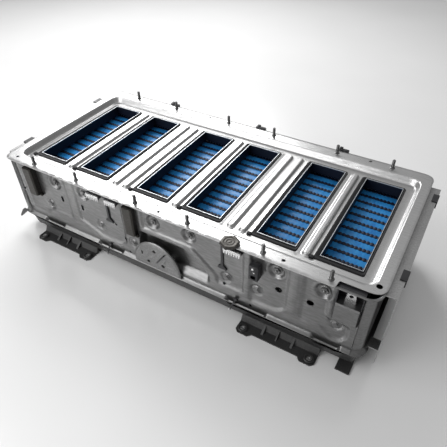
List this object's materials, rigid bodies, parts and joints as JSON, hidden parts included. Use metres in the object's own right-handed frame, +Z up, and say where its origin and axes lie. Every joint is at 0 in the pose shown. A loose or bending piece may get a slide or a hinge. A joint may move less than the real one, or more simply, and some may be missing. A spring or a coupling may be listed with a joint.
{
  "type": "hybrid vehicle battery pack",
  "caption": "Pressed-steel battery case with a dished cover, windowed over rows of blue prismatic cells, and bolted feet.",
  "frame": {"origin": "on the floor under the middle of the pack, at the centre of its bounding box's bottom", "axes": "+X to the right along the pack, -Y to the front (the embossed wall), +Z up"},
  "size_m": [0.916, 0.444, 0.235],
  "materials": {
    "cover_steel": "satin zinc-coated sheet with a fine grain",
    "case_steel": "semi-gloss pressed sheet, mid to dark grey",
    "dark_steel": "dark semi-gloss coated steel",
    "side_steel": "satin sheet",
    "rubber": "matt black moulded rubber",
    "bright_steel": "bright folded sheet",
    "cell_film": "blue shrink film over the cell case",
    "separator_plastic": "dark moulded plastic",
    "copper": "bare metal bars",
    "end_plate_alloy": "cast, plain",
    "board_green": "circuit board",
    "black_plastic": "fine-grained black plastic",
    "fastener_steel": "plain grey steel"
  },
  "bodies": {
    "root": {"air_collar_1": "bright_steel", "air_collar_2": "bright_steel", "air_collar_3": "bright_steel", "air_collar_4": "bright_steel", "air_collar_5": "bright_steel", "air_collar_6": "bright_steel", "arch_plate": "case_steel", "base_pan": "dark_steel", "battery_controller": "black_plastic", "case_body": "case_steel", "cell_monitor_boards": "board_green", "channel_brackets": "dark_steel", "connector_box": "black_plastic", "duct_studs": "fastener_steel", "earth_tab": "case_steel", "edge_clips": "black_plastic", "hex_plate": "dark_steel", "hold_down_straps": "black_plastic", "junction_box": "black_plastic", "ledge_clips": "dark_steel", "left_corner_bracket": "dark_steel", "left_cross_member": "dark_steel", "left_side_plate": "side_steel", "module_1_bus_bars": "copper", "module_1_cells": "cell_film", "module_1_separators": "separator_plastic", "module_2_bus_bars": "copper", "module_2_cells": "cell_film", "module_2_separators": "separator_plastic", "module_3_bus_bars": "copper", "module_3_cells": "cell_film", "module_3_separators": "separator_plastic", "module_4_bus_bars": "copper", "module_4_cells": "cell_film", "module_4_separators": "separator_plastic", "module_5_bus_bars": "copper", "module_5_cells": "cell_film", "module_5_separators": "separator_plastic", "module_6_bus_bars": "copper", "module_6_cells": "cell_film", "module_6_separators": "separator_plastic", "module_end_plates": "end_plate_alloy", "module_support_rails": "bright_steel", "module_tie_bars": "bright_steel", "recess_bracket": "case_steel", "recess_tub": "black_plastic", "right_corner_foot": "dark_steel", "right_cross_member": "dark_steel", "right_side_plate": "side_steel", "top_cover": "cover_steel", "wall_nuts": "fastener_steel", "wall_screws": "fastener_steel", "window_seal_1": "rubber", "window_seal_2": "rubber", "window_seal_3": "rubber", "window_seal_4": "rubber", "window_seal_5": "rubber", "window_seal_6": "rubber", "wire_rails": "bright_steel"}
  },
  "joints": []
}
